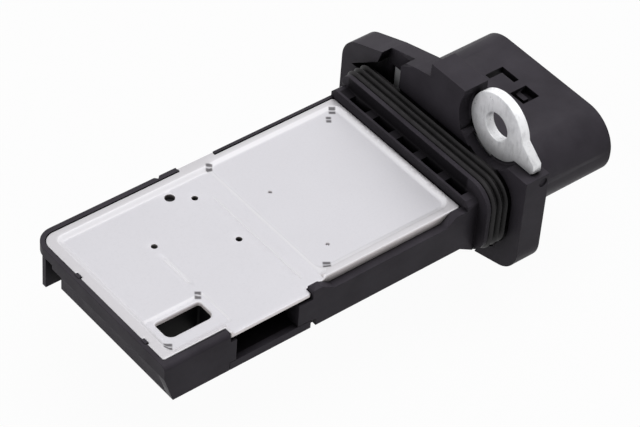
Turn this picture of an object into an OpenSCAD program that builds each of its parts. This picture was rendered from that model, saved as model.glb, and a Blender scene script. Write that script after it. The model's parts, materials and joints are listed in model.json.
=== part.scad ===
// Mass airflow sensor: a flat blade that reaches into an intake duct, a ribbed seal, a flange held by
// two screws through the eyelets of a moulded-in steel plate, and an oval connector shroud behind it.
// Lengths in millimetres. The origin is the centre of the flange's seating face. +X points from the
// blade to the connector, +Z out of the aluminium base plate, and -Y is the side with the air inlet.

/* [Blade] */
// From the flange's seating face to the tip edge of the base plate
blade_l = 65; // [62:0.5:75]
// Width over the two side walls
blade_w = 34.6; // [34:0.2:38]
// Thickness, from the underside cover to the top of the base plate
blade_t = 7.7; // [7.4:0.1:9]
// Side wall on the inlet side
near_wall = 1.6; // [1.4:0.1:2]
// Side wall on the far side
far_wall = 1; // [0.8:0.1:1.4]
// Radius of the far tip corner
blade_corner_r = 3.4; // [2:0.2:4.4]
// How far the lip stands out past the plate's tip edge
lip_out = 0.9; // [0.6:0.1:1.4]
// Height of the lip
lip_h = 2.5; // [2.4:0.1:2.9]
// How far the wall below the lip stands back from the plate's tip edge
tip_setback = 0.8; // [0.4:0.1:1.2]
// Ledge that carries the plate and the cover along the walls
ledge_w = 1.2; // [1:0.1:1.4]
// Rounding of the inlet side wall's top edge beside the window
wall_round = 0.8; // [0.4:0.1:1]
// Length of the dip in the inlet side wall that bares the plate's edge
dip_l = 27; // [20:1:28]
// Depth of that dip
dip_d = 1.5; // [0.5:0.1:1.7]
// Width of the slit in the far wall's top edge
slit_w = 0.5; // [0.3:0.1:0.8]
// From the plate's near edge to the first tab that holds its tip edge
tab_near = 4.7; // [3:0.1:8]
// From the plate's near edge to the second tab
tab_far = 21.8; // [18:0.1:24]
// Width of those tabs
tab_w = 1.1; // [0.8:0.1:2]
// How far each tab reaches over the plate
tab_reach = 0.3; // [0.2:0.1:0.6]
// How far the far wall steps in between the plate's ear and the neck
far_step = 0.3; // [0:0.05:0.4]
// Thickness of the guide rib in the air outlet
guide_t = 0.9; // [0.7:0.1:1.2]
// From the plate's far edge to that rib
guide_in = 2; // [1.6:0.1:2.4]

/* [Base plate] */
// Length of the plate
plate_l = 58.1; // [56:0.1:58.3]
// Sheet thickness of the plate
plate_t = 1.6; // [1.5:0.1:1.8]
// Room round the plate in its seat
plate_gap = 0.1; // [0.05:0.05:0.2]
// Depth of the pressed panel beside the flange
flange_panel_d = 0.4; // [0.2:0.05:0.45]
// Depth of the pressed panel beside the tip
tip_panel_d = 0.6; // [0.5:0.05:0.65]
// Depth of the pressed area round the window
window_panel_d = 0.8; // [0.7:0.05:0.85]
// Width of the slope round each pressed panel
panel_slope = 0.9; // [0.5:0.1:1.2]
// From the plate's tip edge to the step between the two large panels
step_in = 31.5; // [30:0.5:34]
// How far the tongue reaches past the air inlet towards the tip
tongue_over = 1.1; // [0.8:0.1:1.6]
// How far it reaches past the air inlet towards the flange
tongue_past = 2.6; // [2.2:0.1:3]
// Thickness of the tongue over the air inlet
tongue_t = 0.55; // [0.4:0.05:0.7]
// How far the tongue's edge stays back from the outer face of the side wall
tongue_back = 0.3; // [0.1:0.1:0.6]
// Length of the ear that lies over the far wall
ear_l = 7; // [5:0.5:9]
// Thickness of that ear
ear_t = 0.5; // [0.4:0.05:0.6]
// From the plate's tip edge to the window
window_in = 3.8; // [3.2:0.05:4.4]
// From the plate's near edge to the window
window_side = 3.7; // [3.2:0.1:4.2]
// Length of the window
window_l = 8.5; // [6:0.5:9]
// Width of the window
window_w = 3.8; // [3:0.2:4.2]
// Diameter of the vent hole over the air passage
vent_d = 1.7; // [1:0.1:2.4]
// Diameter of the gauge holes
gauge_d = 1.05; // [0.6:0.05:1.4]
// Diameter of the two punch marks on the flange panel
punch_d = 0.7; // [0.4:0.1:1]
// Width of the scored lines
score_w = 0.3; // [0.2:0.1:0.5]

/* [Air passage] */
// Distance from the plate's tip edge to the air inlet
inlet_x = 12.6; // [12.6:0.1:13.4]
// Width of the air inlet
inlet_w = 11.9; // [10:0.1:12.2]
// Width of the outlet leg at the tip
outlet_w = 4.6; // [4:0.1:5]
// How far past the blade's middle line the bend of the passage starts
bend_y = 2.5; // [1.5:0.1:3]
// Length of the outlet notch through the cover
outlet_l = 6; // [4:0.5:8]
// Thickness of the wall between the passage and the circuit chamber
partition_t = 3; // [2:0.2:3.4]

/* [Underside cover] */
// Thickness of the cover
cover_t = 1.55; // [1.4:0.05:1.7]
// Thickness of each adhesive bead
glue_t = 0.1; // [0.05:0.05:0.15]
// How far each bead stays back from the edges of its seat
bead_back = 0.3; // [0.2:0.05:0.4]
// Depth of the shallow panel in the cover's outer face
cover_panel_d = 0.3; // [0.2:0.1:0.5]

/* [Neck and seal] */
// Height of the neck block over the middle plane
block_h = 5.5; // [5:0.1:5.8]
// Length of the pockets along the blade
pocket_l = 1.4; // [1:0.1:1.5]
// Width of each pocket
pocket_w = 4.1; // [3:0.1:4.6]
// Depth of each pocket
pocket_d = 3.5; // [2:0.1:4]
// From the plate's seat to the pockets
pocket_back = 0.45; // [0.4:0.05:0.6]
// From the blade's sides to the middle of the outermost pockets, before the connector's shift
lead_edge = 5.3; // [4.8:0.1:6]
// Chamfer along the block's two upper edges
block_chamfer = 0.8; // [0.4:0.1:1]
// Thickness of the collar in front of the seal
collar_t = 0.8; // [0.6:0.1:1]
// Width of the seal between collar and flange
seal_w = 3.8; // [3.4:0.1:4.2]
// Width over the seal's ribs
seal_over_w = 37.4; // [37:0.2:38.4]
// Height over the seal's ribs
seal_over_h = 14.4; // [14:0.2:15]
// Corner radius over the ribs at the inlet side
seal_near_r = 4.6; // [3:0.1:5.4]
// Corner radius over the ribs at the far side, so that the blade fits its duct one way only
seal_far_r = 2.4; // [2.2:0.1:4]
// How far the seal's centre lies towards the inlet side
seal_shift_y = 1.2; // [0.8:0.1:1.4]
// How far the seal's centre lies above the blade's middle plane
seal_shift_z = 0.9; // [0.6:0.1:1.1]
// From the core of the neck to the crest of a rib
seal_t = 2.1; // [1.9:0.1:2.1]
// Radius of each rib's crest
rib_r = 0.5; // [0.4:0.05:0.55]
// Depth of the seal's seat in the flange's face
seal_seat = 0.3; // [0.2:0.1:0.6]
// Room round the seal in that seat
seal_room = 0.1; // [0.05:0.05:0.3]
// How far the collar stays below the ribs
collar_drop = 0.4; // [0.3:0.1:0.8]

/* [Flange] */
// Width of the flange
flange_w = 45.4; // [45:0.2:48]
// Thickness of the flange
flange_t = 4.8; // [4.4:0.1:6]
// Radius of the two large rounded corners
flange_corner_r = 5; // [3:0.2:5.4]
// Rise of the upper outline from the rounded corner to the lug
upper_rise = 5.5; // [5:0.1:6.4]
// The same rise of the lower outline
lower_rise = 3.5; // [3:0.1:6.4]
// How far the upper front pocket runs out beside the seal
upper_wing = 6.3; // [5:0.1:6.4]
// How far the lower front pocket runs out beside the seal
lower_wing = 3.6; // [3:0.1:4]
// How far the lug reaches past the middle
lug_over = 1.3; // [0.8:0.1:2]
// Where the slope beside the lug begins, from the middle
brow_y = 4.85; // [4:0.05:6]
// Height of the shoulder under each eyelet
shoulder_h = 10.05; // [9.9:0.05:10.4]
// Height of the lug beside each eyelet
lug_h = 18.05; // [17:0.05:18.5]

/* [Mounting plate] */
// Distance of each eyelet from the middle along Y
eyelet_y = 12.6; // [12.2:0.1:13.2]
// Distance of each eyelet from the middle along Z
eyelet_z = 13.85; // [13.6:0.05:14.4]
// Outer radius of an eyelet
eyelet_r = 6.05; // [5.6:0.05:6.4]
// Radius of the screw hole
screw_r = 2.5; // [2:0.1:3.2]
// Thickness of the mounting plate
insert_t = 1.7; // [1.4:0.1:2]
// Depth of the plate's front face behind the seating face
insert_depth = 2; // [1.6:0.1:2.2]
// Room round the eyelet in the flange's front face
eyelet_room = 0.6; // [0.3:0.1:0.8]
// How far the tail reaches past the eyelet's centre
tail_l = 9.2; // [8:0.1:9.8]

/* [Connector] */
// Outer width of the shroud
shroud_w = 32.4; // [32:0.2:34]
// Outer height of the shroud
shroud_h = 12.8; // [12.4:0.2:14]
// Corner radius of the shroud
shroud_r = 6.1; // [5:0.1:6.2]
// Reach of the shroud past the flange's seating face
shroud_reach = 24.7; // [24:0.1:30]
// Wall of the shroud
shroud_wall = 1.5; // [1.2:0.1:1.8]
// How far the connector sits towards -Y of the flange's centre
connector_shift = 1; // [0.6:0.1:1.2]
// From the mouth of the shroud to its latch windows
latch_back = 5.6; // [5:0.1:6.4]
// Length of the square latch window
latch_l = 3.5; // [3:0.1:4]
// Width of the square latch window
latch_w = 3.3; // [3:0.1:3.6]
// Length of the hooked latch window
hook_l = 3.8; // [3.2:0.1:4.2]
// Width of the hooked latch window
hook_w = 4.1; // [3.6:0.1:4.6]
// Width of the hooked window's two arms
hook_arm = 1.1; // [0.8:0.1:1.4]
// Width and height of the two keys along the lower wall
key_s = 1.2; // [1:0.1:1.4]
// Spacing of the five contacts
contact_pitch = 3.8; // [3.6:0.1:4]
// Width of each contact
contact_w = 1.5; // [1:0.1:1.8]
// Thickness of the leads
lead_t = 0.64; // [0.5:0.02:0.8]
// Width of each lead in the neck
lead_w = 1.3; // [1:0.1:1.6]
// How far each contact stays back from the mouth
contact_recess = 5; // [3:0.5:8]

/* [Electronics] */
// Room between the partition and the circuit board
board_gap = 1.8; // [1.6:0.1:2.4]
// Room between the circuit board and the ends of the leads
lead_gap = 2; // [1.8:0.1:2.4]
// Room on each side of the circuit board
board_side_gap = 2.8; // [2.4:0.1:3.4]
// Thickness of the circuit board
board_t = 0.8; // [0.6:0.1:1]
// Length of the control chip
control_l = 7.5; // [6:0.5:8]
// Width of the control chip
control_w = 6.5; // [5:0.5:7]
// Length of the regulator chip
regulator_l = 4.5; // [4:0.1:5]
// Width of the regulator chip
regulator_w = 3.6; // [3:0.1:4]
// Height of both chips
chip_h = 1.1; // [0.8:0.1:1.3]
// Length of each capacitor
capacitor_l = 1.25; // [1:0.05:1.6]
// Width of each capacitor
capacitor_w = 2; // [1.6:0.1:2.4]
// Height of each capacitor
capacitor_h = 1; // [0.8:0.1:1.2]
// Length of each resistor
resistor_l = 1.6; // [1:0.1:2]
// Width of each resistor
resistor_w = 0.8; // [0.5:0.1:1.2]
// Height of each resistor
resistor_h = 0.5; // [0.3:0.1:0.6]
// Spacing of the bonding pads beside the leads
pad_pitch = 4.6; // [4.2:0.1:4.8]
// Thickness of the bonding leads
bond_t = 0.12; // [0.08:0.02:0.16]
// Width of the bonding leads
bond_w = 0.6; // [0.4:0.1:0.8]
// Side of the square pins that carry the sensing elements
pin_s = 0.5; // [0.4:0.05:0.6]
// Spacing of the two pins of one element
pin_pitch = 2.6; // [2.4:0.1:3]
// Spacing of the pairs of pins
pair_pitch = 6.2; // [5.8:0.1:6.6]
// From the chamber's wall at the inlet side to the first pin
first_pin_in = 2.3; // [2:0.1:2.6]
// How far the pins stand into the air passage
pin_reach = 4.5; // [3:0.5:6]
// How far the pins stand into the circuit chamber
pin_tail = 1; // [0.8:0.1:1.2]
// Diameter of the sensing elements
element_d = 0.8; // [0.5:0.1:1]
// Length of the sensing elements
element_l = 1.5; // [1:0.1:1.7]
// Diameter of the temperature bead
bead_d = 1.3; // [0.8:0.1:1.6]
// Depth of the gel over the circuit board
gel_d = 3.1; // [2.8:0.1:3.4]

/* [Hidden] */
$fn = 48;
top_z = blade_t / 2;
// Planes of the plate's underside, of the two ledges and of the cover's inner face
plate_z = top_z - plate_t;
seat_z = plate_z - glue_t;
cover_z = cover_t - top_z;
floor_z = cover_z + glue_t;
tip_x = -blade_l;
lip_x = tip_x - lip_out;
wall_x = tip_x + tip_setback;
plate_end_x = tip_x + plate_l;
block_x = plate_end_x + plate_gap;
near_y = -blade_w / 2;
far_y = blade_w / 2;
plate_near_y = near_y + near_wall;
plate_far_y = far_y - far_wall;
plate_corner_r = blade_corner_r - far_wall;
// Passage and chamber
inlet_x0 = tip_x + inlet_x;
inlet_x1 = inlet_x0 + inlet_w;
tongue_x0 = inlet_x0 - tongue_over;
tongue_x1 = inlet_x1 + tongue_past;
outlet_y0 = plate_far_y - outlet_w;
chamber_x0 = inlet_x1 + partition_t;
cover_end_x = plate_end_x - 1.2;
chamber_x1 = cover_end_x - ledge_w;
chamber_y0 = plate_near_y + ledge_w;
chamber_y1 = plate_far_y - ledge_w;
window_x0 = tip_x + window_in;
window_y0 = plate_near_y + window_side;
step_x = tip_x + step_in;
ear_x0 = tongue_x1 - 0.3;
ear_x1 = ear_x0 + ear_l;
guide_y0 = plate_far_y - guide_in - guide_t;
tongue_top_z = top_z - tip_panel_d;
// Collar, seal and flange
collar_x = -seal_w - collar_t;
insert_x1 = insert_depth + insert_t;
shroud_floor_x = flange_t + 2;
// Leads and electronics
lead_x0 = chamber_x1 - 2.4;
board_x0 = chamber_x0 + board_gap;
board_x1 = lead_x0 - lead_gap;
board_y0 = chamber_y0 + board_side_gap;
board_y1 = chamber_y1 - board_side_gap;
board_z1 = plate_z - glue_t;
board_z0 = board_z1 - board_t;
pin_x0 = inlet_x1 - pin_reach;
pin_x1 = chamber_x0 + pin_tail;
first_pin_y = chamber_y0 + first_pin_in;
pocket_pitch = (blade_w - 2 * lead_edge) / 4;
shelf_y0 = -connector_shift - 2.5 * pocket_pitch;
shelf_y1 = -connector_shift + 2.5 * pocket_pitch;
// Holes in the plate, from its tip edge and its near edge
vent_at = [22.2, 28.4];
gauge_at = [[25.4, 26.1], [13.7, 20.9], [25.4, 14.7]];
punch_at = [[35.8, 20.2], [35.8, 5.7]];
// Scored lines: distance from the tip edge, then both ends from the near edge
score_at = [[27.9, 2.1, 25.2], [13.4, 10.9, 18.4]];

// A 2D shape in Y and Z, drawn out along +X
module along_x(x, length) {
    translate([x, 0, 0])
        rotate([90, 0, 90])
            linear_extrude(length)
                children();
}

// A 2D shape in X and Z, drawn out along +Y
module along_y(y, length) {
    translate([0, y + length, 0])
        rotate([90, 0, 0])
            linear_extrude(length)
                children();
}

// A 2D shape in X and Y, drawn up between two heights
module between(z0, z1) {
    translate([0, 0, z0])
        linear_extrude(z1 - z0)
            children();
}

module area(x0, y0, x1, y1) {
    translate([x0, y0])
        square([x1 - x0, y1 - y0]);
}

module rounded_area(x0, y0, x1, y1, r) {
    area(x0 + r, y0, x1 - r, y1);
    area(x0, y0 + r, x1, y1 - r);
    for (x = [x0 + r, x1 - r], y = [y0 + r, y1 - r])
        translate([x, y])
            circle(r);
}

module rounded_rect(w, h, r) {
    rounded_area(-w / 2, -h / 2, w / 2, h / 2, r);
}

// Rectangle with its own radius at each corner, from the lower left one on
module cornered_area(x0, y0, x1, y1, r) {
    difference() {
        area(x0, y0, x1, y1);
        for (c = [[x0, y0, 1, 1, r[0]], [x1, y0, -1, 1, r[1]],
                [x1, y1, -1, -1, r[2]], [x0, y1, 1, -1, r[3]]])
            translate([c[0], c[1]])
                difference() {
                    square(2 * c[4], center = true);
                    translate([c[2] * c[4], c[3] * c[4]])
                        circle(c[4]);
                }
    }
}

// Outline of the neck, with tight corners at the far side; drop is its depth under the seal's crests
module neck_outline(drop) {
    w = seal_over_w / 2 - drop;
    h = seal_over_h / 2 - drop;
    near_r = seal_near_r - drop;
    far_r = seal_far_r - drop;
    translate([-seal_shift_y, seal_shift_z])
        cornered_area(-w, -h, w, h, [near_r, far_r, far_r, near_r]);
}

// Sweeps a 2D section round the seal's outline: x runs outwards from the crests, y along +X
module sweep_seal() {
    w = seal_over_w / 2;
    h = seal_over_h / 2;
    side_run(0, h, -w + seal_near_r, w - seal_far_r)
        children();
    side_run(180, h, -w + seal_far_r, w - seal_near_r)
        children();
    side_run(-90, w, -h + seal_far_r, h - seal_far_r)
        children();
    side_run(90, w, -h + seal_near_r, h - seal_near_r)
        children();
    for (y = [-1, 1], z = [-1, 1]) {
        r = y < 0 ? seal_near_r : seal_far_r;
        translate([0, y * (w - r), z * (h - r)])
            rotate([atan2(z, y) - 45, 0, 0])
                rotate([90, 0, 90])
                    rotate_extrude(angle = 90)
                        translate([r, 0])
                            children();
    }
}

// One straight run of the swept section, turned about X, at a distance from the middle
module side_run(turn, distance, from, to) {
    rotate([turn, 0, 0])
        translate([0, from, distance])
            rotate([-90, -90, 0])
                linear_extrude(to - from)
                    children();
}

// Blade outline, with the far tip corner rounded
module blade_outline(x0, x1) {
    area(x0 + blade_corner_r, near_y, x1, far_y);
    area(x0, near_y, x1, far_y - blade_corner_r);
    translate([x0 + blade_corner_r, far_y - blade_corner_r])
        circle(blade_corner_r);
}

// Outline of the base plate, grown by its room in the seat
module plate_outline(grow) {
    x0 = tip_x - grow;
    x1 = plate_end_x + grow;
    y0 = plate_near_y - grow;
    y1 = plate_far_y + grow;
    r = plate_corner_r + grow;
    area(x0, y0, x1, y1 - r);
    area(x0 + r, y0, x1, y1);
    translate([x0 + r, y1 - r])
        circle(r);
}

module tongue_outline(grow) {
    area(tongue_x0 - grow, near_y - 2 * grow, tongue_x1 + grow, chamber_y0);
}

module ear_outline(grow) {
    area(ear_x0 - grow, plate_far_y - 1, ear_x1 + grow, far_y + 3 * grow - 0.3);
}

// Air passage: a straight throat from the inlet, a bend towards the tip and the outlet leg
module passage_outline() {
    outer_r = chamber_y1 - bend_y;
    inner_r = outlet_y0 - bend_y;
    difference() {
        union() {
            area(inlet_x0, near_y - 1, inlet_x1, bend_y);
            intersection() {
                translate([inlet_x1 - outer_r, bend_y])
                    circle(outer_r);
                area(inlet_x1 - outer_r, bend_y - 1, inlet_x1, chamber_y1);
            }
            area(inlet_x0 - inner_r, bend_y - 0.01, inlet_x1 - outer_r, chamber_y1);
            area(lip_x - 1, outlet_y0, inlet_x0 - inner_r + 0.01, plate_far_y);
        }
        translate([inlet_x0 - inner_r, bend_y])
            circle(inner_r);
        area(lip_x - 1, near_y - 2, inlet_x0, bend_y);
    }
}

module window_outline(grow) {
    near_r = 1.2 + grow;
    far_r = 0.4 + grow;
    cornered_area(window_x0 - grow, window_y0 - grow, window_x0 + window_l + grow,
        window_y0 + window_w + grow, [near_r, near_r, far_r, far_r]);
}

module core_pocket_outline() {
    rounded_area(wall_x + 1.4, window_y0 + window_w + 1.2, inlet_x0 - 1.2, bend_y, 1);
}

module chamber_outline() {
    rounded_area(chamber_x0, chamber_y0, chamber_x1, chamber_y1, 1.5);
}

// A pressed panel: its flat floor, and a slope up to the face of the sheet
module pressed_panel(x0, y0, x1, y1, r, depth) {
    hull() {
        between(top_z - depth, top_z - depth + 0.01)
            rounded_area(x0 + panel_slope, y0 + panel_slope, x1 - panel_slope, y1 - panel_slope, r,
                $fn = 24);
        between(top_z, top_z + 0.1)
            rounded_area(x0, y0, x1, y1, r + panel_slope, $fn = 24);
    }
}

// A flat with sloped ends cut down into a wall's top edge
module top_dip(x0, x1, y, width, depth) {
    along_y(y, width)
        polygon([[x0, top_z + 1], [x0, top_z], [x0 + 2.5, top_z - depth], [x1 - 2, top_z - depth],
            [x1, top_z], [x1, top_z + 1]]);
}

// Slanted front end of the inlet side wall, from the lip down to the cover
module near_tip_end() {
    along_y(near_y, near_wall)
        polygon([[lip_x, top_z - lip_h + 0.01], [wall_x, -top_z], [wall_x + 1, -top_z],
            [wall_x + 1, top_z - lip_h + 0.01]]);
}

module tip_tabs(grow) {
    for (y = [tab_near, tab_far])
        translate([0, plate_near_y + y, 0])
            between(seat_z - 0.2, top_z + 0.1)
                translate([tip_x - plate_gap - 0.2, -tab_w / 2 - grow])
                    square([plate_gap + 0.2 + tab_reach + grow, tab_w + 2 * grow]);
}

// Bar that rounds a straight edge along X when it is taken away
module edge_round_x(x0, x1, r) {
    along_x(x0, x1 - x0)
        difference() {
            translate([near_y - 1, top_z - r])
                square([r + 1, r + 1]);
            translate([near_y + r, top_z - r])
                circle(r);
        }
}

module blade() {
    difference() {
        union() {
            // Lip level, and the deeper part that stands back under it
            between(top_z - lip_h, top_z)
                blade_outline(lip_x, block_x);
            intersection() {
                between(-top_z, top_z - lip_h + 0.01)
                    blade_outline(lip_x, block_x);
                union() {
                    between(-top_z, top_z)
                        area(wall_x, near_y, block_x, far_y);
                    near_tip_end();
                }
            }
        }
        // Seats of the plate and of the cover
        between(seat_z, top_z + 1)
            plate_outline(plate_gap);
        between(seat_z, top_z + 1)
            tongue_outline(plate_gap);
        between(top_z - ear_t - 0.05, top_z + 1)
            ear_outline(plate_gap);
        between(-top_z - 1, floor_z)
            cover_outline(plate_gap);
        // Air passage, window shaft and circuit chamber
        between(floor_z - 0.01, seat_z + 0.01)
            passage_outline();
        between(cover_z - 2, top_z)
            area(inlet_x0, near_y - 1, inlet_x1, plate_near_y + 0.5);
        between(-top_z - 1, top_z - lip_h)
            area(lip_x - 1, outlet_y0, tip_x + outlet_l, plate_far_y);
        between(-top_z - 1, top_z - lip_h)
            area(lip_x - 1, outlet_y0, tip_x + 2.5, far_y + 1);
        between(-top_z, top_z)
            window_outline(0);
        between(floor_z - 0.01, seat_z + 0.01)
            chamber_outline();
        // Core pocket between the window shaft and the bend
        between(floor_z - 0.01, seat_z - 1)
            core_pocket_outline();
        // Edges
        top_dip(chamber_x0 + 1.5, chamber_x0 + 1.5 + dip_l, near_y - 1, near_wall + 1 + plate_gap, dip_d);
        between(-top_z - 1, top_z + 1)
            area(ear_x1 + plate_gap, far_y - far_step, block_x, far_y + 1);
        between(-top_z - 1, -top_z + 1.35)
            area(tongue_x1, near_y - 1, tongue_x1 + 1, near_y + 0.8);
        edge_round_x(lip_x - 1, tongue_x0 - plate_gap, wall_round);
        between(top_z - 1, top_z + 1)
            translate([tongue_x1 - 4.1, far_y])
                rotate(45)
                    square(slit_w * sqrt(2), center = true);
    }
    tip_tabs(0);
    // Guide rib in the outlet, hung from the lip
    between(-top_z - 0.1, seat_z)
        area(lip_x, guide_y0, tip_x + outlet_l, guide_y0 + guide_t);
    // Shelf over the ends of the leads
    between(lead_t / 2, seat_z)
        area(lead_x0, shelf_y0, chamber_x1 + 0.01, shelf_y1);
}

// Neck block behind the plate, with five pockets down towards the leads
module neck_block() {
    end_y = far_y - far_step;
    chamfer_z = block_h - block_chamfer;
    under_x = cover_end_x + plate_gap;
    difference() {
        intersection() {
            along_y(near_y, blade_w)
                polygon([[block_x, block_h], [collar_x, block_h], [collar_x, -block_h],
                    [collar_x - 0.2, -block_h], [cover_end_x + 0.6, -top_z], [under_x, -top_z],
                    [under_x, 0], [block_x, 0]]);
            along_x(block_x - 2, 10)
                polygon([[near_y, -block_h], [end_y, -block_h], [end_y, chamfer_z],
                    [end_y - block_chamfer, block_h], [near_y + block_chamfer, block_h],
                    [near_y, chamfer_z]]);
        }
        for (i = [-2:2])
            translate([block_x + pocket_back, i * pocket_pitch - connector_shift, block_h - pocket_d])
                translate([0, -pocket_w / 2, 0])
                    cube([pocket_l, pocket_w, pocket_d + 1]);
    }
}

// Outline of one half of the flange, from its middle out past the rounded corner, lug and shoulder
module flange_half(rise) {
    half_w = flange_w / 2;
    corner_y = half_w - flange_corner_r;
    // The outline leaves the corner at the slope of its first straight piece, and bends at two knees
    knee_z = shoulder_h + 0.46 * rise;
    brow_z = shoulder_h + 0.86 * rise;
    slope = atan((knee_z - shoulder_h) / 6.9);
    corner_z = shoulder_h - flange_corner_r * cos(slope);
    lug_y = eyelet_r - 0.25 - eyelet_y;
    translate([corner_y, corner_z])
        circle(flange_corner_r);
    polygon([[half_w, -0.01], [half_w, corner_z], [corner_y, corner_z],
        [corner_y + flange_corner_r * sin(slope), shoulder_h], [eyelet_y, knee_z], [brow_y, brow_z],
        [lug_over, shoulder_h + rise], [lug_over, lug_h], [lug_y, lug_h], [lug_y, shoulder_h],
        [-half_w, shoulder_h], [-half_w, -0.01]]);
}

module flange_outline() {
    flange_half(upper_rise);
    rotate(180)
        flange_half(lower_rise);
}

// Front pocket that bares a corner of the mounting plate, with a wing beside the seal
module front_pocket(wing) {
    y = eyelet_y;
    z = shoulder_h;
    wing_z = z - 0.25 - 0.73 * wing;
    polygon([[y + 1.3 + wing, wing_z], [y + 1.3, z - 0.25], [y + 0.25, z + 2.9], [y + 0.25, lug_h],
        [y - 6.4, lug_h], [y - 6.2, z + 5.1], [y - 4.3, z + 2.8], [y - 4.2, wing_z]]);
}

module eyelet_area(r) {
    for (side = [0, 180])
        rotate(side)
            translate([-eyelet_y, eyelet_z])
                circle(r);
}

module flange() {
    difference() {
        along_x(0, flange_t)
            flange_outline();
        along_x(-1, seal_seat + 1)
            neck_outline(-seal_room);
        along_x(-1, insert_depth + 1)
            eyelet_area(eyelet_r + eyelet_room);
        along_x(insert_depth - 0.01, flange_t)
            eyelet_area(eyelet_r);
        for (side = [0, 180])
            rotate([side, 0, 0])
                along_x(-1, insert_depth + 1)
                    front_pocket(side == 0 ? upper_wing : lower_wing);
        // Shallow round mark on the end face
        translate([flange_t - 1.2, -flange_w / 2 - 1, shoulder_h - 1.3])
            rotate([-90, 0, 0])
                cylinder(h = 1.25, d = 1.7, $fn = 24);
    }
}

// Seal seat: collar, core and the body behind them
module neck() {
    along_x(collar_x, collar_t)
        neck_outline(collar_drop);
    along_x(collar_x, seal_seat + 0.01 - collar_x)
        neck_outline(seal_t);
}

module shroud_outline(inset) {
    translate([-connector_shift, 0])
        rounded_rect(shroud_w - 2 * inset, shroud_h - 2 * inset, shroud_r - inset);
}

module shroud() {
    wall_z = shroud_h / 2 - shroud_wall;
    latch_x = shroud_reach - latch_back;
    square_y = -0.6 - connector_shift;
    hook_y = 5.2 - connector_shift;
    difference() {
        along_x(flange_t - 0.01, shroud_reach - flange_t + 0.01)
            shroud_outline(0);
        along_x(shroud_floor_x, shroud_reach)
            shroud_outline(shroud_wall);
        // Latch windows in the top wall: a hooked one and a square one
        between(wall_z - 0.5, wall_z + shroud_wall + 1) {
            area(latch_x - hook_l, hook_y - hook_arm, latch_x, hook_y);
            area(latch_x - hook_arm, hook_y - hook_w, latch_x, hook_y);
            area(latch_x - latch_l, square_y - latch_w, latch_x, square_y);
        }
    }
    // Latch post in the square window
    between(wall_z - 0.6, wall_z + 0.6)
        area(latch_x - 2.1, square_y - 2, latch_x - 1.1, square_y);
    // Keys along the lower wall
    for (y = [-6.4, 5.6])
        translate([shroud_floor_x - 0.01, y - connector_shift - key_s / 2, -wall_z - 0.01])
            cube([shroud_reach - shroud_floor_x - 3, key_s, key_s]);
}

// Housing: one moulding from the blade's tip to the mouth of the connector
module housing() {
    color([0.07, 0.07, 0.08])
        difference() {
            union() {
                blade();
                neck_block();
                neck();
                flange();
                shroud();
            }
            mounting_plate_body();
            for (i = [1:5])
                lead(i);
            for (i = [1:6])
                sensing_pin_body(i);
        }
}

// Base plate: pressed aluminium with stepped panels, a window and a tongue over the inlet
module base_plate() {
    color([0.86, 0.86, 0.88])
        difference() {
            union() {
                between(plate_z, top_z)
                    plate_outline(0);
                between(tongue_top_z - tongue_t, top_z)
                    area(tongue_x0, near_y + tongue_back, tongue_x1, plate_near_y + 1);
                between(top_z - ear_t, top_z)
                    ear_outline(0);
            }
            // The slopes of the two large panels meet in one step
            pressed_panel(tip_x + 1.5, plate_near_y + 0.5, step_x + panel_slope / 3, plate_far_y - 1.1, 0.8,
                tip_panel_d);
            pressed_panel(step_x - panel_slope * 4 / 3, plate_near_y + 1, plate_end_x - 0.4,
                plate_far_y - 1.1, 1.6, flange_panel_d);
            pressed_panel(tip_x + 1.5, plate_near_y + 0.3, window_x0 + window_l + 2.3,
                window_y0 + window_w + 2, 0.6, window_panel_d);
            // From the window to the step, the tip panel runs out over the edge and the tongue
            between(tongue_top_z, top_z + 1)
                area(tongue_x0 + 0.4, near_y - 1, step_x - 0.6, plate_near_y + 3);
            between(plate_z - 1, tongue_top_z - tongue_t)
                area(inlet_x0 - 2, near_y - 1, tongue_x1 + 0.5, plate_near_y + 0.01);
            between(plate_z - 1, top_z + 1)
                window_outline(0);
            tip_tabs(0.05);
            // Holes: the vent, the gauge holes and the blind punch marks
            translate([tip_x + vent_at[0], plate_near_y + vent_at[1], plate_z - 1])
                cylinder(h = plate_t + 2, d = vent_d, $fn = 24);
            for (p = gauge_at)
                translate([tip_x + p[0], plate_near_y + p[1], plate_z - 1])
                    cylinder(h = plate_t + 2, d = gauge_d, $fn = 20);
            for (p = punch_at)
                translate([tip_x + p[0], plate_near_y + p[1], top_z - 0.8])
                    cylinder(h = 1, d = punch_d, $fn = 16);
            // Scored lines across the tip panel
            for (p = score_at)
                along_y(plate_near_y + p[1], p[2] - p[1])
                    translate([tip_x + p[0], tongue_top_z])
                        rotate(45)
                            square(score_w / sqrt(2), center = true);
        }
}

// Outline of the underside cover, which follows the walls and closes the inlet's lower side
module cover_outline(grow) {
    difference() {
        union() {
            area(wall_x + 1 - grow, plate_near_y - grow, cover_end_x + grow, plate_far_y + grow);
            tongue_outline(grow);
        }
        area(lip_x, outlet_y0 - 1 + grow, tip_x + outlet_l + 0.8 - grow, far_y);
    }
}

module underside_cover() {
    color([0.09, 0.09, 0.1])
        difference() {
            between(-top_z, cover_z)
                difference() {
                    cover_outline(0);
                    area(tongue_x0 - 1, near_y - 2, tongue_x1 + 1, near_y);
                }
            between(-top_z - 1, cover_z + 1)
                window_outline(0);
            between(-top_z - 1, -top_z + cover_panel_d)
                rounded_area(chamber_x0 + 1, chamber_y0 + 1, chamber_x1 - 1, chamber_y1 - 1, 2);
            between(-top_z - 1, -top_z + cover_panel_d)
                rounded_area(inlet_x0 + 1, chamber_y0 + 1, inlet_x1 - 0.5, chamber_y1 - 1, 2);
        }
}

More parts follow.
